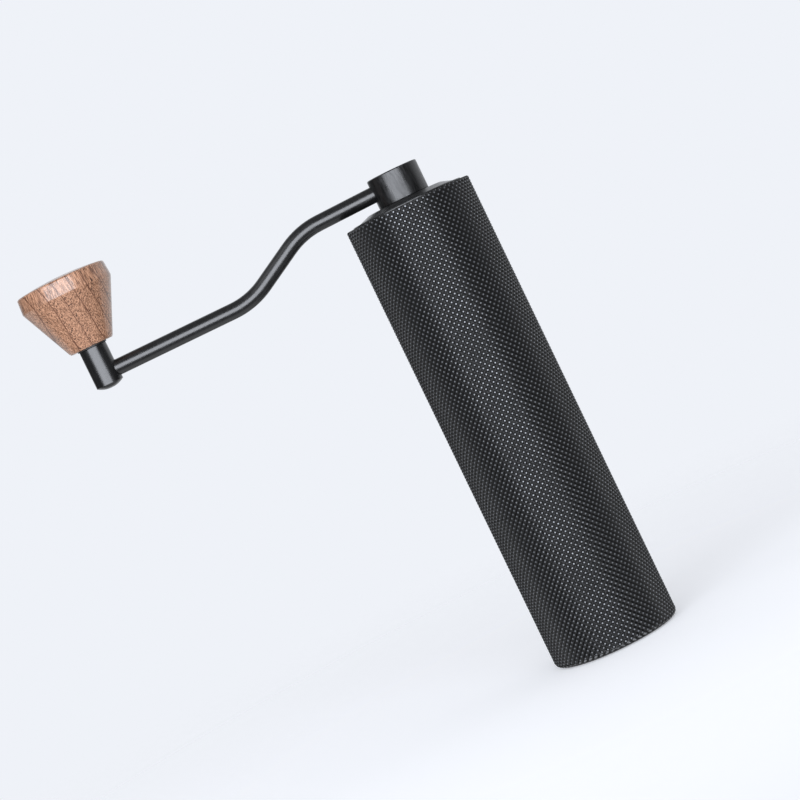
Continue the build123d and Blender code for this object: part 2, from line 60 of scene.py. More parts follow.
tube_low, tube_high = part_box("body_tube")
cup_low, cup_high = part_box("cup_shell")
collar_low, collar_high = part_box("thread_collar")
spring_low, spring_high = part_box("burr_spring")
post_low, post_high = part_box("knob_post")
knob_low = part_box("knob_grip")[0]
shaft_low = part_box("drive_shaft")[0]

BODY_R = tube_high.x
BODY_BORE_R = 21.0 * MM
RIM_CHAMFER = 0.3 * MM
RIM_LAND_R = BODY_R - 2 * RIM_CHAMFER - 0.2 * MM
CUP_BORE_R = 20.5 * MM
CUP_FLOOR_Z = 3.5 * MM
CUP_CORNER_R = 2.0 * MM
CUP_CORNER_STEPS = 6
CUP_EDGE_R = 2.0 * MM
CUP_LAND_R = BODY_R - 0.9 * MM
CUP_MOUTH_CHAMFER = 0.25 * MM
CAP_RING_R = 9.0 * MM
PAD_R = 19.5 * MM
PAD_TOP = 1.5 * MM
GASKET_R = 21.4 * MM
GASKET_Z = (52.5 * MM, 54.5 * MM)
POST_X = (post_low.x + post_high.x) / 2

# ---- knurl ----

KNURL_STARTS = 65
KNURL_DEPTH = 0.58 * MM
KNURL_FLOOR = 0.015  # where a groove's floor ends, as a share of the pitch
KNURL_SHOULDER = 0.37  # where a diamond's flat top starts, as a share of the pitch
KNURL_FADE_ANGLE = math.radians(75)  # how far round the cup's lower edge the knurl runs
KNURL_PITCH = 2 * math.pi * BODY_R / KNURL_STARTS


# ---- mesh helpers ----

def new_piece(name, bm, body, material, smooth=False):
    """A mesh object from a bmesh, riding on a CAD body."""
    mesh = bpy.data.meshes.new(name)
    bmesh.ops.recalc_face_normals(bm, faces=bm.faces)
    bm.to_mesh(mesh)
    bm.free()
    mesh.polygons.foreach_set("use_smooth", [smooth] * len(mesh.polygons))
    piece = bpy.data.objects.new(name, mesh)
    bpy.context.scene.collection.objects.link(piece)
    mesh.materials.append(material)
    if body:
        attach(piece, body)
    return piece


def cut_at(bm, z, keep_above):
    """Cuts a bmesh at a height and drops what is on the other side."""
    geometry = bm.verts[:] + bm.edges[:] + bm.faces[:]
    bmesh.ops.bisect_plane(bm, geom=geometry, dist=1e-7, plane_co=(0, 0, z), plane_no=(0, 0, 1),
                           clear_inner=keep_above, clear_outer=not keep_above)


def line_at(bm, z):
    """Adds an edge line round a bmesh at a height."""
    geometry = bm.verts[:] + bm.edges[:] + bm.faces[:]
    bmesh.ops.bisect_plane(bm, geom=geometry, dist=1e-7, plane_co=(0, 0, z), plane_no=(0, 0, 1))


def rim_loop(bm, z):
    """The boundary vertices at a height, in order round the Z axis."""
    found = set()
    for edge in bm.edges:
        if edge.is_boundary and all(abs(v.co.z - z) < 1e-6 for v in edge.verts):
            found.update(edge.verts)
    return sorted(found, key=lambda v: math.atan2(v.co.y, v.co.x))


def run_in(bm, loop, profile):
    """Carries a closed loop of vertices on through rings of (radius, height)."""
    for radius, height in profile:
        ring = []
        for v in loop:
            scale = radius / math.hypot(v.co.x, v.co.y)
            ring.append(bm.verts.new((v.co.x * scale, v.co.y * scale, height)))
        for i in range(len(loop)):
            j = (i + 1) % len(loop)
            bm.faces.new((loop[i], loop[j], ring[j], ring[i]))
        loop = ring
    return loop


def close_to_point(bm, loop, height):
    """Closes a loop with a fan of triangles to a point on the Z axis."""
    centre = bm.verts.new((0, 0, height))
    for i in range(len(loop)):
        bm.faces.new((loop[i], loop[(i + 1) % len(loop)], centre))


def zip_loops(bm, first, second):
    """Joins two loops with different vertex counts, both in order round the Z axis."""
    def turn(v):
        return math.atan2(v.co.y, v.co.x)
    a = [(turn(v), v) for v in first]
    b = [(turn(v), v) for v in second]
    a.append((a[0][0] + 2 * math.pi, a[0][1]))
    b.append((b[0][0] + 2 * math.pi, b[0][1]))
    i = j = 0
    while i < len(a) - 1 or j < len(b) - 1:
        if j == len(b) - 1 or (i < len(a) - 1 and a[i + 1][0] <= b[j + 1][0]):
            bm.faces.new((a[i][1], a[i + 1][1], b[j][1]))
            i += 1
        else:
            bm.faces.new((a[i][1], b[j + 1][1], b[j][1]))
            j += 1


def knurled_sheet(bottom, top):
    """A straight knurled skin: raised flat-topped diamonds between two sets of helical grooves.

    a and b count the grooves of the two hands, so every diamond is one unit square in (a, b).
    """
    steps = (KNURL_FLOOR, KNURL_SHOULDER, 1.0 - KNURL_SHOULDER, 1.0 - KNURL_FLOOR)
    lines = len(steps)
    count = lines * KNURL_STARTS
    b_low = lines * (math.floor(-2 * top / KNURL_PITCH) - 2)
    b_high = lines * (math.ceil(KNURL_STARTS - 2 * bottom / KNURL_PITCH) + 2)
    bm = bmesh.new()
    height_layer = bm.verts.layers.float.new("knurl_height")
    made = {}

    def vertex(ia, ib):
        if ia >= count:
            ia, ib = ia - count, ib - count
        if (ia, ib) not in made:
            a = ia // lines + steps[ia % lines]
            b = ib // lines + steps[ib % lines]
            raised = 1.0 if ia % lines in (1, 2) and ib % lines in (1, 2) else 0.0
            radius = BODY_R - KNURL_DEPTH * (1.0 - raised)
            turn = (a + b) * KNURL_PITCH / 2 / BODY_R
            z = (a - b) * KNURL_PITCH / 2
            v = bm.verts.new((radius * math.cos(turn), radius * math.sin(turn), z))
            v[height_layer] = raised
            made[ia, ib] = v
        return made[ia, ib]

    for ia in range(count):
        for ib in range(b_low, b_high):
            z = (ia - ib) / lines * KNURL_PITCH / 2
            if not bottom - KNURL_PITCH < z < top + KNURL_PITCH:
                continue
            corners = [vertex(ia, ib), vertex(ia + 1, ib), vertex(ia + 1, ib + 1), vertex(ia, ib + 1)]
            if ia % lines in (0, 2) and ib % lines in (0, 2):  # where two slopes meet, on a mitre
                if ia % lines != ib % lines:
                    corners = corners[1:] + corners[:1]
                bm.faces.new((corners[0], corners[1], corners[2]))
                bm.faces.new((corners[0], corners[2], corners[3]))
            else:
                bm.faces.new(corners)
    return bm


THREAD_END = 0.3  # the plain band above a thread, in run-outs


def threaded_sheet(radius, depth, pitch, bottom, top, lead, run_out, segments):
    """A helical thread with flat crests, carved inwards, with a bevelled foot and a fading top."""
    profile = ((0.0, 1.0), (0.14, 1.0), (0.5, 0.0), (0.64, 0.0))  # (share of the pitch, share of the depth)
    rows = len(profile)
    first = math.floor(bottom / pitch) - 2
    last = math.ceil(top / pitch) + 1
    bm = bmesh.new()
    made = {}

    def vertex(i, k):
        if i >= segments:
            i, k = i - segments, k + rows
        if (i, k) not in made:
            share, cut = profile[k % rows]
            z = (k // rows + share + i / segments) * pitch
            fade = min(1.0, max(0.0, (top - z) / run_out - THREAD_END))
            r = min(radius - depth * cut * fade, radius - lead + max(0.0, z - bottom))
            turn = 2 * math.pi * i / segments
            made[i, k] = bm.verts.new((r * math.cos(turn), r * math.sin(turn), z))
        return made[i, k]

    for i in range(segments):
        for k in range(first * rows, last * rows):
            bm.faces.new((vertex(i, k), vertex(i + 1, k), vertex(i + 1, k + 1), vertex(i, k + 1)))
    cut_at(bm, top, keep_above=False)
    cut_at(bm, bottom, keep_above=True)
    return bm


# ---- node helpers ----

class Graph:
    """Adds nodes to a tree, linking sockets and setting plain values by input name."""

    def __init__(self, tree):
        self.tree = tree
        tree.nodes.clear()

    def add(self, kind, inputs=None, **settings):
        node = self.tree.nodes.new("ShaderNode" + kind)
        for key, value in settings.items():
            setattr(node, key, value)
        for key, value in (inputs or {}).items():
            if isinstance(value, bpy.types.NodeSocket):
                self.tree.links.new(value, node.inputs[key])
            else:
                node.inputs[key].default_value = value
        return node

    def math(self, operation, a, b=0.0, c=0.0):
        return self.add("Math", {0: a, 1: b, 2: c}, operation=operation).outputs[0]

    def vector(self, operation, a, b=(0.0, 0.0, 0.0)):
        node = self.add("VectorMath", {0: a, 1: b}, operation=operation)
        return node.outputs["Value" if operation in ("DOT_PRODUCT", "LENGTH") else "Vector"]

    def noise(self, point, scale, detail=2.0, roughness=0.5, distortion=0.0):
        inputs = {"Vector": point, "Scale": scale, "Detail": detail, "Roughness": roughness,
                  "Distortion": distortion}
        return self.add("TexNoise", inputs).outputs["Fac"]

    def fit(self, value, low, high, out_low=0.0, out_high=1.0):
        """A smooth step from out_low at low to out_high at high."""
        inputs = {"Value": value, "From Min": low, "From Max": high, "To Min": out_low, "To Max": out_high}
        return self.add("MapRange", inputs, interpolation_type="SMOOTHSTEP").outputs["Result"]

    def mix(self, factor, a, b):
        inputs = {"Factor": factor, 6: a, 7: b}
        return self.add("Mix", inputs, data_type="RGBA").outputs[2]

    def bump(self, height, distance, strength=1.0):
        inputs = {"Height": height, "Distance": distance, "Strength": strength}
        return self.add("Bump", inputs).outputs["Normal"]

    def shader(self, **inputs):
        named = {key.replace("_", " "): value for key, value in inputs.items()}
        return self.add("BsdfPrincipled", named)


def new_material(name):
    material = bpy.data.materials.new(name)
    material.use_nodes = True
    return material, Graph(material.node_tree)


def finish_material(graph, shader):
    graph.add("OutputMaterial", {"Surface": shader.outputs[0]})


def object_point(g, offset=(0.0, 0.0, 0.0)):
    """Where the surface is in the object's frame, in metres, less an offset."""
    here = g.add("TexCoord").outputs["Object"]
    return g.vector("SUBTRACT", here, offset)


def lathe_point(g, offset_x=0.0):
    """(distance from a vertical axis, height, 0): constant along a turning mark."""
    parts = g.add("SeparateXYZ", {0: object_point(g, (offset_x, 0.0, 0.0))})
    across = g.math("MULTIPLY", parts.outputs[0], parts.outputs[0])
    across = g.math("MULTIPLY_ADD", parts.outputs[1], parts.outputs[1], across)
    radius = g.math("SQRT", across)
    return g.add("CombineXYZ", {0: radius, 1: parts.outputs[2]}).outputs[0]


def grey(value, tint=0.0):
    """A grey with a little blue in it."""
    return (value, value * (1 + tint * 0.35), value * (1 + tint), 1.0)


TURNING_SCALE = 2600.0
TURNING_DEPTH = 2e-6
METAL_CLOUD_SCALE = 260.0
METAL_GRAIN_SCALE = 5200.0
METAL_MOTTLE = 0.24
METAL_TONES = (0.78, 1.22)
METAL_SPREAD = 0.05


def turned_metal(name, colour, roughness, axis_x=0.0):
    """Metal with turning marks round an axis, a mottled sheen and small tone changes."""
    material, g = new_material(name)
    here = object_point(g)
    lines = g.noise(lathe_point(g, axis_x), TURNING_SCALE, 3.0, 0.6)
    cloud = g.noise(here, METAL_CLOUD_SCALE, 4.0, 0.6)
    grain = g.noise(here, METAL_GRAIN_SCALE, 2.0, 0.6)
    tone = g.math("MULTIPLY_ADD", g.math("SUBTRACT", cloud, 0.5), METAL_MOTTLE, 0.5)
    dark, light = (tuple(c * share for c in colour) + (1.0,) for share in METAL_TONES)
    surface = g.mix(tone, dark, light)
    rough = g.fit(g.math("MULTIPLY_ADD", lines, 0.5, g.math("MULTIPLY", cloud, 0.5)), 0.3, 0.7,
                  roughness - METAL_SPREAD, roughness + METAL_SPREAD)
    height = g.math("MULTIPLY_ADD", grain, 0.35, lines)
    normal = g.bump(height, TURNING_DEPTH)
    finish_material(g, g.shader(Base_Color=surface, Metallic=1.0, Roughness=rough, IOR=1.5, Normal=normal))
    return material


SATIN_TINT = 0.06
SATIN_TONES = (0.75, 1.5)
SATIN_STREAK_SCALE = 900.0
SATIN_CLOUD_SCALE = 240.0
SATIN_GRAIN_SCALE = 7000.0


def satin_black(name, value, roughness, stretch=(1.0, 1.0, 0.22), streaks=0.10, grain_depth=0.8e-6, ior=1.55):
    """Black anodised or coated metal: a dark satin skin with soft streaks and fine grain."""
    material, g = new_material(name)
    here = object_point(g)
    stretched = g.vector("MULTIPLY", here, stretch)
    streak = g.noise(stretched, SATIN_STREAK_SCALE, 4.0, 0.65, 0.6)
    cloud = g.noise(here, SATIN_CLOUD_SCALE, 3.0, 0.55)
    grain = g.noise(here, SATIN_GRAIN_SCALE, 2.0, 0.5)
    worn = g.math("MULTIPLY", streak, cloud)
    dark, light = (grey(value * share, SATIN_TINT) for share in SATIN_TONES)
    surface = g.mix(g.fit(worn, 0.12, 0.42), dark, light)
    rough = g.fit(streak, 0.3, 0.7, roughness - streaks, roughness + streaks)
    normal = g.bump(g.math("MULTIPLY_ADD", streak, 0.8, grain), grain_depth)
    finish_material(g, g.shader(Base_Color=surface, Roughness=rough, IOR=ior, Normal=normal))
    return material


KNURL_GROOVE_COLOUR = grey(0.0035, 0.05)
# The flat tops' colour is partly rubbed wear and partly a painted highlight that brightens the knurl's dots.
KNURL_TOP_WEAR_AND_SHEEN_COLOUR = grey(0.22, 0.10)
KNURL_TOP_METAL = 0.46
KNURL_ROUGHNESS = (0.33, 0.27)
KNURL_TOP_EXTRA_ROUGHNESS = 0.09
KNURL_IOR = 1.55
KNURL_GRAIN_SCALE = 6000.0
KNURL_GRAIN_DEPTH = 2e-6
KNURL_PATCH_SCALE = 90.0


def knurl_black(name):
    """Satin black anodising on the knurl. The diamonds' flat tops are painted brighter in patches, partly as
    wear and partly as a painted highlight.
    """
    material, g = new_material(name)
    here = object_point(g)
    tops = g.add("Attribute", attribute_name="knurl_height").outputs["Fac"]
    grain = g.noise(here, KNURL_GRAIN_SCALE, 2.0, 0.6)
    patches = g.noise(here, KNURL_PATCH_SCALE, 3.0, 0.6)
    # Painted highlight with wear: the diamonds' flat tops get a far brighter colour, in patches.
    top_wear_and_sheen = g.math("MULTIPLY", g.fit(tops, 0.9, 1.0), g.fit(patches, 0.25, 0.7, 0.55, 1.0))
    surface = g.mix(top_wear_and_sheen, KNURL_GROOVE_COLOUR, KNURL_TOP_WEAR_AND_SHEEN_COLOUR)
    metal = g.math("MULTIPLY", top_wear_and_sheen, KNURL_TOP_METAL)
    mottle = g.math("MULTIPLY_ADD", grain, 0.5, g.math("MULTIPLY", patches, 0.5))
    rough = g.fit(mottle, 0.3, 0.7, *KNURL_ROUGHNESS)
    rough = g.math("MULTIPLY_ADD", top_wear_and_sheen, KNURL_TOP_EXTRA_ROUGHNESS, rough)
    normal = g.bump(grain, KNURL_GRAIN_DEPTH)
    finish_material(g, g.shader(Base_Color=surface, Metallic=metal, Roughness=rough, IOR=KNURL_IOR,
                                Normal=normal))
    return material


def soft_black(name, value, roughness, scale, depth):
    """Rubber or matt plastic with a fine moulded grain."""
    material, g = new_material(name)
    here = object_point(g)
    grain = g.noise(here, scale, 3.0, 0.6)
    cloud = g.noise(here, 150.0, 2.0, 0.5)
    surface = g.mix(cloud, grey(value * 0.75), grey(value * 1.4))
    rough = g.fit(grain, 0.3, 0.7, roughness - 0.06, roughness + 0.06)
    finish_material(g, g.shader(Base_Color=surface, Roughness=rough, Normal=g.bump(grain, depth)))
    return material


# ---- walnut ----

RING_TILT = math.radians(11.0)
RING_SPACING = 4.9 * MM
RING_WANDER = 2.2 * MM
RING_WANDER_SCALE = 70.0
RING_DIRECTION = (math.cos(RING_TILT), 0.22, math.sin(RING_TILT))
FIBRE_STRETCH = (1.0, 1.0, 0.10)
FIBRE_SCALE = 3000.0
BAND_SCALE = 500.0
PORE_SCALE = 2150.0
PORE_BREAK_STRETCH = (1.0, 1.0, 0.25)
PORE_BREAK_SCALE = 1100.0
PORE_STRENGTH = 0.88
WOOD_RELIEF = 12e-6
LACQUER_WEIGHT = 0.66
LACQUER_ROUGHNESS = 0.13
WOOD_TAN = (0.285, 0.134, 0.074, 1.0)
WOOD_MID = (0.165, 0.073, 0.037, 1.0)
WOOD_PALE = (0.540, 0.290, 0.176, 1.0)
WOOD_DARK = (0.085, 0.034, 0.017, 1.0)
WOOD_LINE = (0.085, 0.026, 0.012, 1.0)
WOOD_PORE = (0.030, 0.012, 0.007, 1.0)


def walnut(name):
    """Lacquered walnut: growth planes that lean from the knob's axis, with pores that run along it."""
    material, g = new_material(name)
    here = object_point(g, (POST_X, 0.0, knob_low.z))
    wander = g.math("SUBTRACT", g.noise(here, RING_WANDER_SCALE, 2.0, 0.5), 0.5)
    across = g.vector("DOT_PRODUCT", here, RING_DIRECTION)
    layer = g.math("MULTIPLY_ADD", wander, RING_WANDER, across)
    phase = g.math("FRACT", g.math("DIVIDE", layer, RING_SPACING))

    late = g.fit(phase, 0.45, 0.93)
    line = g.math("MULTIPLY", g.fit(phase, 0.88, 0.955), g.fit(phase, 1.0, 0.97))
    fibre_point = g.vector("MULTIPLY", here, FIBRE_STRETCH)
    fibre = g.noise(fibre_point, FIBRE_SCALE, 3.0, 0.7)
    band = g.noise(fibre_point, BAND_SCALE, 3.0, 0.65)
    tone = g.math("MULTIPLY_ADD", late, 0.16, g.math("MULTIPLY", band, 0.84))
    colour = g.mix(g.fit(tone, 0.25, 0.78), WOOD_TAN, WOOD_MID)
    colour = g.mix(g.fit(fibre, 0.36, 0.60), WOOD_PALE, colour)
    colour = g.mix(g.fit(fibre, 0.50, 0.72, 0.0, 0.60), colour, WOOD_DARK)
    colour = g.mix(g.math("MULTIPLY", line, g.fit(band, 0.3, 0.6, 0.6, 0.9)), colour, WOOD_LINE)

    pore_cells = g.add("TexVoronoi", {"Vector": here, "Scale": PORE_SCALE, "Randomness": 1.0},
                       voronoi_dimensions="2D")
    early = g.fit(phase, 1.0, 0.0, 0.20, 0.36)
    broken = g.noise(g.vector("MULTIPLY", here, PORE_BREAK_STRETCH), PORE_BREAK_SCALE, 2.0, 0.6)
    reach = g.math("MULTIPLY", early, g.fit(broken, 0.32, 0.68, 0.45, 1.15))
    pores = g.fit(g.math("SUBTRACT", reach, pore_cells.outputs["Distance"]), 0.0, 0.08)
    colour = g.mix(g.math("MULTIPLY", pores, PORE_STRENGTH), colour, WOOD_PORE)

    height = g.math("MULTIPLY_ADD", fibre, 0.25, g.math("MULTIPLY", pores, -1.0))
    normal = g.bump(height, WOOD_RELIEF, 0.6)
    rough = g.fit(fibre, 0.3, 0.7, 0.42, 0.55)
    finish_material(g, g.shader(Base_Color=colour, Roughness=rough, Normal=normal,
                                Coat_Weight=LACQUER_WEIGHT, Coat_Roughness=LACQUER_ROUGHNESS,
                                Coat_IOR=1.5))
    return material


# ---- materials by slot ----

BRASS = (0.72, 0.50, 0.22)
looks = {
    "black_anodised": knurl_black("black_anodised"),
    "lid_black": satin_black("lid_black", 0.010, 0.27, stretch=(1.0, 1.0, 1.0), streaks=0.05),
    "hub_black": satin_black("hub_black", 0.0045, 0.33, ior=1.60),
    "arm_black": satin_black("arm_black", 0.0050, 0.28, streaks=0.04, grain_depth=0.10e-6, ior=1.66),
    "machined_aluminium": turned_metal("machined_aluminium", (0.62, 0.62, 0.63), 0.30),
    "bridge_aluminium": turned_metal("bridge_aluminium", (0.55, 0.55, 0.56), 0.38),
    "dial_aluminium": turned_metal("dial_aluminium", (0.68, 0.68, 0.69), 0.26),
    "liner_aluminium": turned_metal("liner_aluminium", (0.52, 0.52, 0.53), 0.34),
    "burr_steel": turned_metal("burr_steel", (0.42, 0.42, 0.43), 0.28),
    "shaft_steel": turned_metal("shaft_steel", (0.58, 0.58, 0.59), 0.22),
    "clip_steel": turned_metal("clip_steel", (0.12, 0.12, 0.13), 0.35),
    "spring_steel": turned_metal("spring_steel", (0.56, 0.56, 0.58), 0.24),
    "bearing_steel": turned_metal("bearing_steel", (0.68, 0.68, 0.70), 0.12),
    "cage_brass": turned_metal("cage_brass", BRASS, 0.30),
    "sleeve_brass": turned_metal("sleeve_brass", BRASS, 0.25, axis_x=POST_X),
    "bush_plastic": soft_black("bush_plastic", 0.030, 0.45, 2500.0, 3e-6),
    "silicone_black": soft_black("silicone_black", 0.022, 0.62, 1800.0, 6e-6),
    "walnut": walnut("walnut"),
}
slot_of = {part["node"]: part["material_slot"] for part in frame["record"]["subparts"]}
for node_name, node in frame["nodes"].items():
    node.data.materials.clear()
    node.data.materials.append(looks[slot_of[node_name]])


# ---- knurled body tube ----

def make_body():
    """The knurled tube with its chamfered rim and plain bore."""
    bottom, top = tube_low.z, tube_high.z
    bm = knurled_sheet(bottom, top)
    cut_at(bm, top, keep_above=False)
    cut_at(bm, bottom, keep_above=True)
    line_at(bm, top - RIM_CHAMFER)
    for v in bm.verts:
        limit = BODY_R - max(0.0, v.co.z - (top - RIM_CHAMFER))
        radius = math.hypot(v.co.x, v.co.y)
        if radius > limit:
            v.co.x *= limit / radius
            v.co.y *= limit / radius
    inside = [(RIM_LAND_R, top), (BODY_BORE_R + RIM_CHAMFER, top), (BODY_BORE_R, top - RIM_CHAMFER),
              (BODY_BORE_R, bottom)]
    foot = run_in(bm, rim_loop(bm, bottom), [(RIM_LAND_R, bottom)])
    wall = run_in(bm, rim_loop(bm, top), inside)
    zip_loops(bm, wall, foot)
    piece = new_piece("body_knurled", bm, "housing", looks["black_anodised"])
    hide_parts("body_tube")


def fillet_points(centre, radius, start, end, steps):
    """Points on an arc about a centre, between two angles in degrees."""
    points = []
    for i in range(steps + 1):
        angle = math.radians(start + (end - start) * i / steps)
        points.append((centre[0] + radius * math.cos(angle), centre[1] + radius * math.sin(angle)))
    return points


def make_cup():
    """The knurled cup, its lower edge rounded over, with a groove for the gasket and a recess for the pad."""
    bottom, top = cup_low.z, cup_high.z
    bend_z = bottom + CUP_EDGE_R
    straight_bottom = bend_z - CUP_EDGE_R * math.pi / 2
    bm = knurled_sheet(straight_bottom, top)
    cut_at(bm, top, keep_above=False)
    cut_at(bm, straight_bottom, keep_above=True)
    for v in bm.verts:
        if v.co.z >= bend_z:
            continue
        radius = math.hypot(v.co.x, v.co.y)
        angle = (bend_z - v.co.z) / CUP_EDGE_R
        fade = max(0.0, 1.0 - angle / KNURL_FADE_ANGLE)
        reach = CUP_EDGE_R - (BODY_R - radius) * fade
        new_radius = BODY_R - CUP_EDGE_R + reach * math.cos(angle)
        v.co.x *= new_radius / radius
        v.co.y *= new_radius / radius
        v.co.z = bend_z - reach * math.sin(angle)
    for v in rim_loop(bm, bottom):
        v.co.z = bottom
    corner_centre = (CUP_BORE_R - CUP_CORNER_R, CUP_FLOOR_Z + CUP_CORNER_R)
    corner = fillet_points(corner_centre, CUP_CORNER_R, 0, -90, CUP_CORNER_STEPS)
    inside = [(CUP_LAND_R, top), (CUP_BORE_R + CUP_MOUTH_CHAMFER, top), (CUP_BORE_R, top - CUP_MOUTH_CHAMFER),
              (CUP_BORE_R, GASKET_Z[1]), (GASKET_R, GASKET_Z[1]), (GASKET_R, GASKET_Z[0]),
              (CUP_BORE_R, GASKET_Z[0])] + corner + [(CAP_RING_R, CUP_FLOOR_Z)]
    floor = run_in(bm, rim_loop(bm, top), inside)
    close_to_point(bm, floor, CUP_FLOOR_Z)
    recess = run_in(bm, rim_loop(bm, bottom), [(PAD_R, bottom), (PAD_R, PAD_TOP), (CAP_RING_R, PAD_TOP)])
    close_to_point(bm, recess, PAD_TOP)
    piece = new_piece("cup_knurled", bm, "catch_cup", looks["black_anodised"])
    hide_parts("cup_shell")


# ---- threads and spring ----

COLLAR_THREAD = {"depth": 0.5 * MM, "pitch": 1.5 * MM, "lead": 0.6 * MM, "run_out": 2.0 * MM, "segments": 144}
COLLAR_LEDGE_Z = 57.5 * MM
COLLAR_IN_R = 17.6 * MM
COLLAR_THREAD_R = 20.42 * MM
SHAFT_THREAD = {"depth": 0.34 * MM, "pitch": 1.0 * MM, "lead": 0.5 * MM, "run_out": 1.0 * MM, "segments": 48}
SHAFT_THREAD_R = 3.0 * MM
SHAFT_THREAD_TOP = 63.0 * MM
SHAFT_THREAD_GAP = 0.2 * MM
SPRING_TURNS = 6.0
SPRING_STEPS_A_TURN = 56
SPRING_WIRE_SIDES = 12
SPRING_CLOSED_PITCH = 2.1  # the end turns' pitch, in wire radii
SPRING_WIRE_R = 0.62 * MM
SPRING_R = 5.1 * MM
SHARP_ANGLE = math.radians(32)
SPRING_SHARP_ANGLE = math.radians(60)


def make_collar():
    """The collar that the cup screws onto, with its thread cut."""
    bottom, top = collar_low.z, collar_high.z
    bm = threaded_sheet(COLLAR_THREAD_R, bottom=bottom, top=COLLAR_LEDGE_Z, **COLLAR_THREAD)
    lead = COLLAR_THREAD["lead"]
    profile = [(collar_high.x, COLLAR_LEDGE_Z), (collar_high.x, top), (COLLAR_IN_R, top),
               (COLLAR_IN_R, bottom + lead)]
    wall = run_in(bm, rim_loop(bm, COLLAR_LEDGE_Z), profile)
    foot = run_in(bm, rim_loop(bm, bottom), [(COLLAR_IN_R + lead, bottom)])
    zip_loops(bm, wall, foot)
    piece = new_piece("collar_threaded", bm, "housing", looks["machined_aluminium"],
                      smooth=True)
    piece.data.set_sharp_from_angle(angle=SHARP_ANGLE)
    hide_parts("thread_collar")


def make_shaft():
    """The CAD shaft with a real thread on its foot in place of the plain stand-in."""
    bm = bmesh.new()
    bm.from_mesh(frame["nodes"]["drive_shaft"].data)
    bmesh.ops.remove_doubles(bm, verts=bm.verts[:], dist=1e-7)
    cut_at(bm, SHAFT_THREAD_TOP, keep_above=True)
    thread_top = SHAFT_THREAD_TOP - SHAFT_THREAD_GAP
    stub = bpy.data.meshes.new("stub")
    thread = threaded_sheet(SHAFT_THREAD_R, bottom=shaft_low.z, top=thread_top, **SHAFT_THREAD)
    thread.to_mesh(stub)
    thread.free()
    bm.from_mesh(stub)
    bpy.data.meshes.remove(stub)
    zip_loops(bm, rim_loop(bm, thread_top), rim_loop(bm, SHAFT_THREAD_TOP))
    close_to_point(bm, rim_loop(bm, shaft_low.z), shaft_low.z)
    piece = new_piece("shaft_threaded", bm, "shaft", looks["shaft_steel"], smooth=True)
    piece.data.set_sharp_from_angle(angle=SHARP_ANGLE)
    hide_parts("drive_shaft")


def make_spring():
    """A coil spring with a closed turn at each end."""
    low, high = spring_low.z + SPRING_WIRE_R, spring_high.z - SPRING_WIRE_R
    closed = SPRING_CLOSED_PITCH * SPRING_WIRE_R
    bm = bmesh.new()
    rings = []
    for i in range(int(SPRING_TURNS * SPRING_STEPS_A_TURN) + 1):
        t = i / SPRING_STEPS_A_TURN
        angle = 2 * math.pi * t
        if t < 1:
            z = low + closed * t
        elif t > SPRING_TURNS - 1:
            z = high - closed * (SPRING_TURNS - t)
        else:
            z = low + closed + (high - low - 2 * closed) * (t - 1) / (SPRING_TURNS - 2)
        out = Vector((math.cos(angle), math.sin(angle), 0))
        centre = out * SPRING_R + Vector((0, 0, z))
        ring = []
        for k in range(SPRING_WIRE_SIDES):
            swing = 2 * math.pi * k / SPRING_WIRE_SIDES
            point = centre + SPRING_WIRE_R * (math.cos(swing) * out + math.sin(swing) * Vector((0, 0, 1)))
            ring.append(bm.verts.new(point))
        rings.append(ring)
    for first, second in zip(rings, rings[1:]):
        for k in range(SPRING_WIRE_SIDES):
            j = (k + 1) % SPRING_WIRE_SIDES
            bm.faces.new((first[k], first[j], second[j], second[k]))
    bm.faces.new(rings[0])
    bm.faces.new(rings[-1])
    piece = new_piece("spring_coil", bm, None, looks["spring_steel"], smooth=True)
    piece.data.set_sharp_from_angle(angle=SPRING_SHARP_ANGLE)
    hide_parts("burr_spring")
    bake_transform(piece)


make_body()
make_cup()
make_collar()
make_shaft()
make_spring()


# ---- camera ----

CAM_PLACE = (-0.0320, -0.9225, 0.1500)
CAM_PITCH = math.radians(2.51)
CAM_ROLL = math.radians(25.82)
CAM_LENS = 118.7
CAM_SENSOR = 36.0
CAM_CLIP = (0.01, 50.0)


def make_camera():
    """Looks along +Y and a little down, rolled so that the grinder leans as it does in the photo."""
    forward = Vector((0, math.cos(CAM_PITCH), -math.sin(CAM_PITCH)))
    level = Vector((1, 0, 0))
    upward = Vector((0, math.sin(CAM_PITCH), math.cos(CAM_PITCH)))
    right = math.cos(CAM_ROLL) * level - math.sin(CAM_ROLL) * upward
    top = math.sin(CAM_ROLL) * level + math.cos(CAM_ROLL) * upward
    turn = Matrix((right, top, -forward)).transposed()
    data = bpy.data.cameras.new("camera")
    data.lens = CAM_LENS
    data.sensor_width = CAM_SENSOR
    data.clip_start, data.clip_end = CAM_CLIP
    camera = bpy.data.objects.new("camera", data)
    bpy.context.scene.collection.objects.link(camera)
    camera.matrix_world = Matrix.Translation(CAM_PLACE) @ turn.to_4x4()
    bpy.context.scene.camera = camera


make_camera()

# ---- light ----

BACKDROP = (0.863, 0.888, 0.939, 1.0)
SOFTBOX_SIZE = (2.07, 1.13)
SOFTBOX_DISTANCE = 1.40
SOFTBOX_AZIMUTH = math.radians(-8.5)
SOFTBOX_RISE = math.radians(6.0)
SOFTBOX_POWER = 46.0
SOFTBOX_COLOUR = (0.89, 0.925, 1.0)
SOFTBOX_AIM = Vector((0.0, 0.0, 0.11))


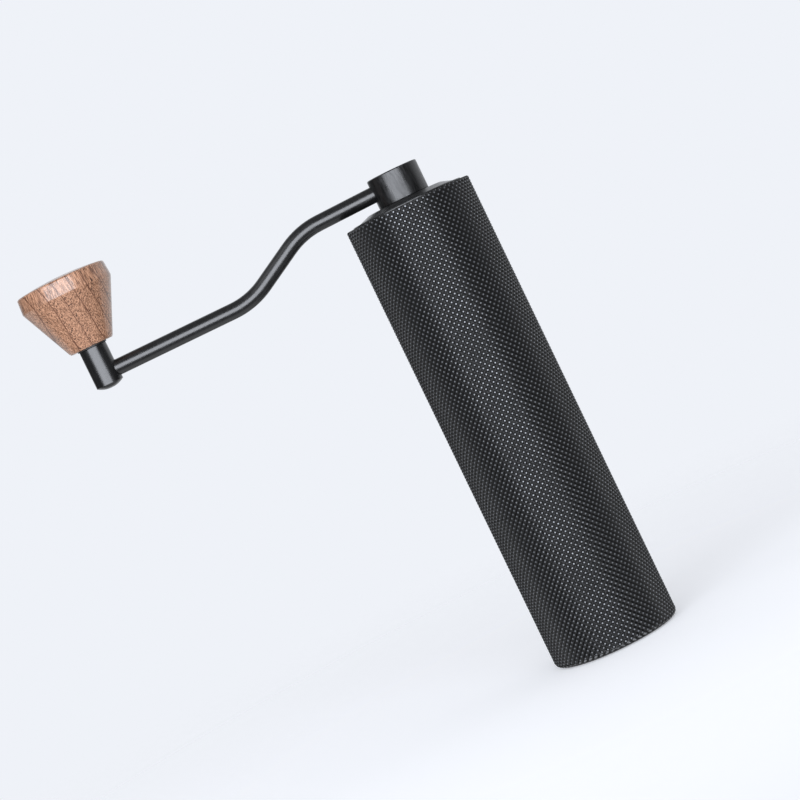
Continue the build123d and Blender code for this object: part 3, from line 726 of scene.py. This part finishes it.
def make_softbox():
    """One large soft light in front, hidden from the camera."""
    data = bpy.data.lights.new("softbox", "AREA")
    data.shape = "RECTANGLE"
    data.size, data.size_y = SOFTBOX_SIZE
    data.energy = SOFTBOX_POWER
    data.color = SOFTBOX_COLOUR
    softbox = bpy.data.objects.new("softbox", data)
    bpy.context.scene.collection.objects.link(softbox)
    towards = Vector((math.cos(SOFTBOX_RISE) * math.sin(SOFTBOX_AZIMUTH),
                      -math.cos(SOFTBOX_RISE) * math.cos(SOFTBOX_AZIMUTH), math.sin(SOFTBOX_RISE)))
    softbox.location = SOFTBOX_AIM + towards * SOFTBOX_DISTANCE
    softbox.rotation_euler = towards.to_track_quat("Z", "Y").to_euler()
    softbox.visible_camera = False


# Brightness of the studio's zones, as seen by the grinder and not by the camera.
DIM = grey(0.09, 0.05)
BACK_LIGHT = grey(0.87, 0.08)
CEILING = grey(0.22, 0.05)
HIGH_SIDES = grey(1.20, 0.05)
LOW_BACK = grey(0.85, 0.05)
GROUND = grey(0.22, 0.05)
UNDERFOOT = grey(0.75, 0.05)

# The ways that the two bright parts of the back wall face.
RIGHT_BACK_WAY = (0.50, 0.866, 0.0)
HIGH_BACK_WAY = (0.0, 0.80, 0.60)

# Where each zone begins and where it is full, along the way named or along x, y or z of the view's direction.
RIGHT_BACK_FADE = (0.30, 0.75)
HIGH_BACK_FADE = (0.62, 0.86)
CEILING_Z = (0.55, 0.85)
HIGH_SIDES_FROM_Z = (0.54, 0.64)
HIGH_SIDES_TO_Z = (0.88, 0.80)
FRONT_Y = (0.30, 0.10)
SIDES_X = (0.20, 0.45)
LOW_Z = (-0.12, -0.26)
BEHIND_Y = (0.05, 0.35)
GROUND_Z = (-0.50, -0.70)
UNDERFOOT_Z = (-0.82, -0.93)


def make_world():
    """A pale studio: dim at the front, bright behind, high at the sides and below, with a soft ceiling."""
    world = bpy.data.worlds.new("studio")
    world.use_nodes = True
    bpy.context.scene.world = world
    g = Graph(world.node_tree)
    way = g.add("TexCoord").outputs["Generated"]
    x, y, z = g.add("SeparateXYZ", {0: way}).outputs
    right_back = g.fit(g.vector("DOT_PRODUCT", way, RIGHT_BACK_WAY), *RIGHT_BACK_FADE)
    high_back = g.fit(g.vector("DOT_PRODUCT", way, HIGH_BACK_WAY), *HIGH_BACK_FADE)
    high_ring = g.math("MULTIPLY", g.fit(z, *HIGH_SIDES_FROM_Z), g.fit(z, *HIGH_SIDES_TO_Z))
    front_sides = g.math("MULTIPLY", g.fit(y, *FRONT_Y), g.fit(g.math("ABSOLUTE", x), *SIDES_X))
    low_back = g.math("MULTIPLY", g.fit(z, *LOW_Z), g.fit(y, *BEHIND_Y))
    tone = g.mix(g.math("MAXIMUM", right_back, high_back), DIM, BACK_LIGHT)
    tone = g.mix(g.fit(z, *CEILING_Z), tone, CEILING)
    tone = g.mix(g.math("MULTIPLY", high_ring, front_sides), tone, HIGH_SIDES)
    tone = g.mix(low_back, tone, LOW_BACK)
    tone = g.mix(g.fit(z, *GROUND_Z), tone, GROUND)
    tone = g.mix(g.fit(z, *UNDERFOOT_Z), tone, UNDERFOOT)
    lit = g.add("Background", {"Color": tone})
    seen = g.add("Background", {"Color": BACKDROP})
    camera_ray = g.add("LightPath").outputs["Is Camera Ray"]
    both = g.add("MixShader", {0: camera_ray, 1: lit.outputs[0], 2: seen.outputs[0]})
    g.add("OutputWorld", {"Surface": both.outputs[0]})


FLOOR_RADIUS = 0.9
FLOOR_SEGMENTS = 96
FLOOR_SPECK_SCALE = 60.0
FLOOR_SPECK_TONE = 0.985
FLOOR_FADE = (0.08, 0.45)
FLOOR_COLOUR = (0.82, 0.82, 0.83, 1.0)
FLOOR_GLOW = 0.36


def make_floor():
    """A pale floor that fades into the backdrop and is clear from below."""
    material, g = new_material("floor_pale")
    here = g.add("TexCoord").outputs["Object"]
    away = g.vector("LENGTH", here)
    speck = g.noise(here, FLOOR_SPECK_SCALE, 3.0, 0.5)
    darker = tuple(c * FLOOR_SPECK_TONE for c in FLOOR_COLOUR[:3]) + (1.0,)
    colour = g.mix(speck, FLOOR_COLOUR, darker)
    lit = g.shader(Base_Color=colour, Roughness=0.8, Specular_IOR_Level=0.1,
                   Emission_Color=BACKDROP, Emission_Strength=FLOOR_GLOW)
    clear = g.add("BsdfTransparent")
    hidden = g.math("MAXIMUM", g.fit(away, *FLOOR_FADE), g.add("NewGeometry").outputs["Backfacing"])
    both = g.add("MixShader", {0: hidden, 1: lit.outputs[0], 2: clear.outputs[0]})
    finish_material(g, both)
    bm = bmesh.new()
    bmesh.ops.create_circle(bm, cap_ends=True, segments=FLOOR_SEGMENTS, radius=FLOOR_RADIUS)
    mesh = bpy.data.meshes.new("floor")
    bm.to_mesh(mesh)
    bm.free()
    mesh.materials.append(material)
    floor = bpy.data.objects.new("floor", mesh)
    bpy.context.scene.collection.objects.link(floor)
    floor.visible_shadow = False
    floor.visible_glossy = False
    floor.visible_diffuse = False


make_softbox()
make_world()
make_floor()
bpy.context.scene.view_settings.view_transform = "Standard"


bpy.context.view_layer.update()
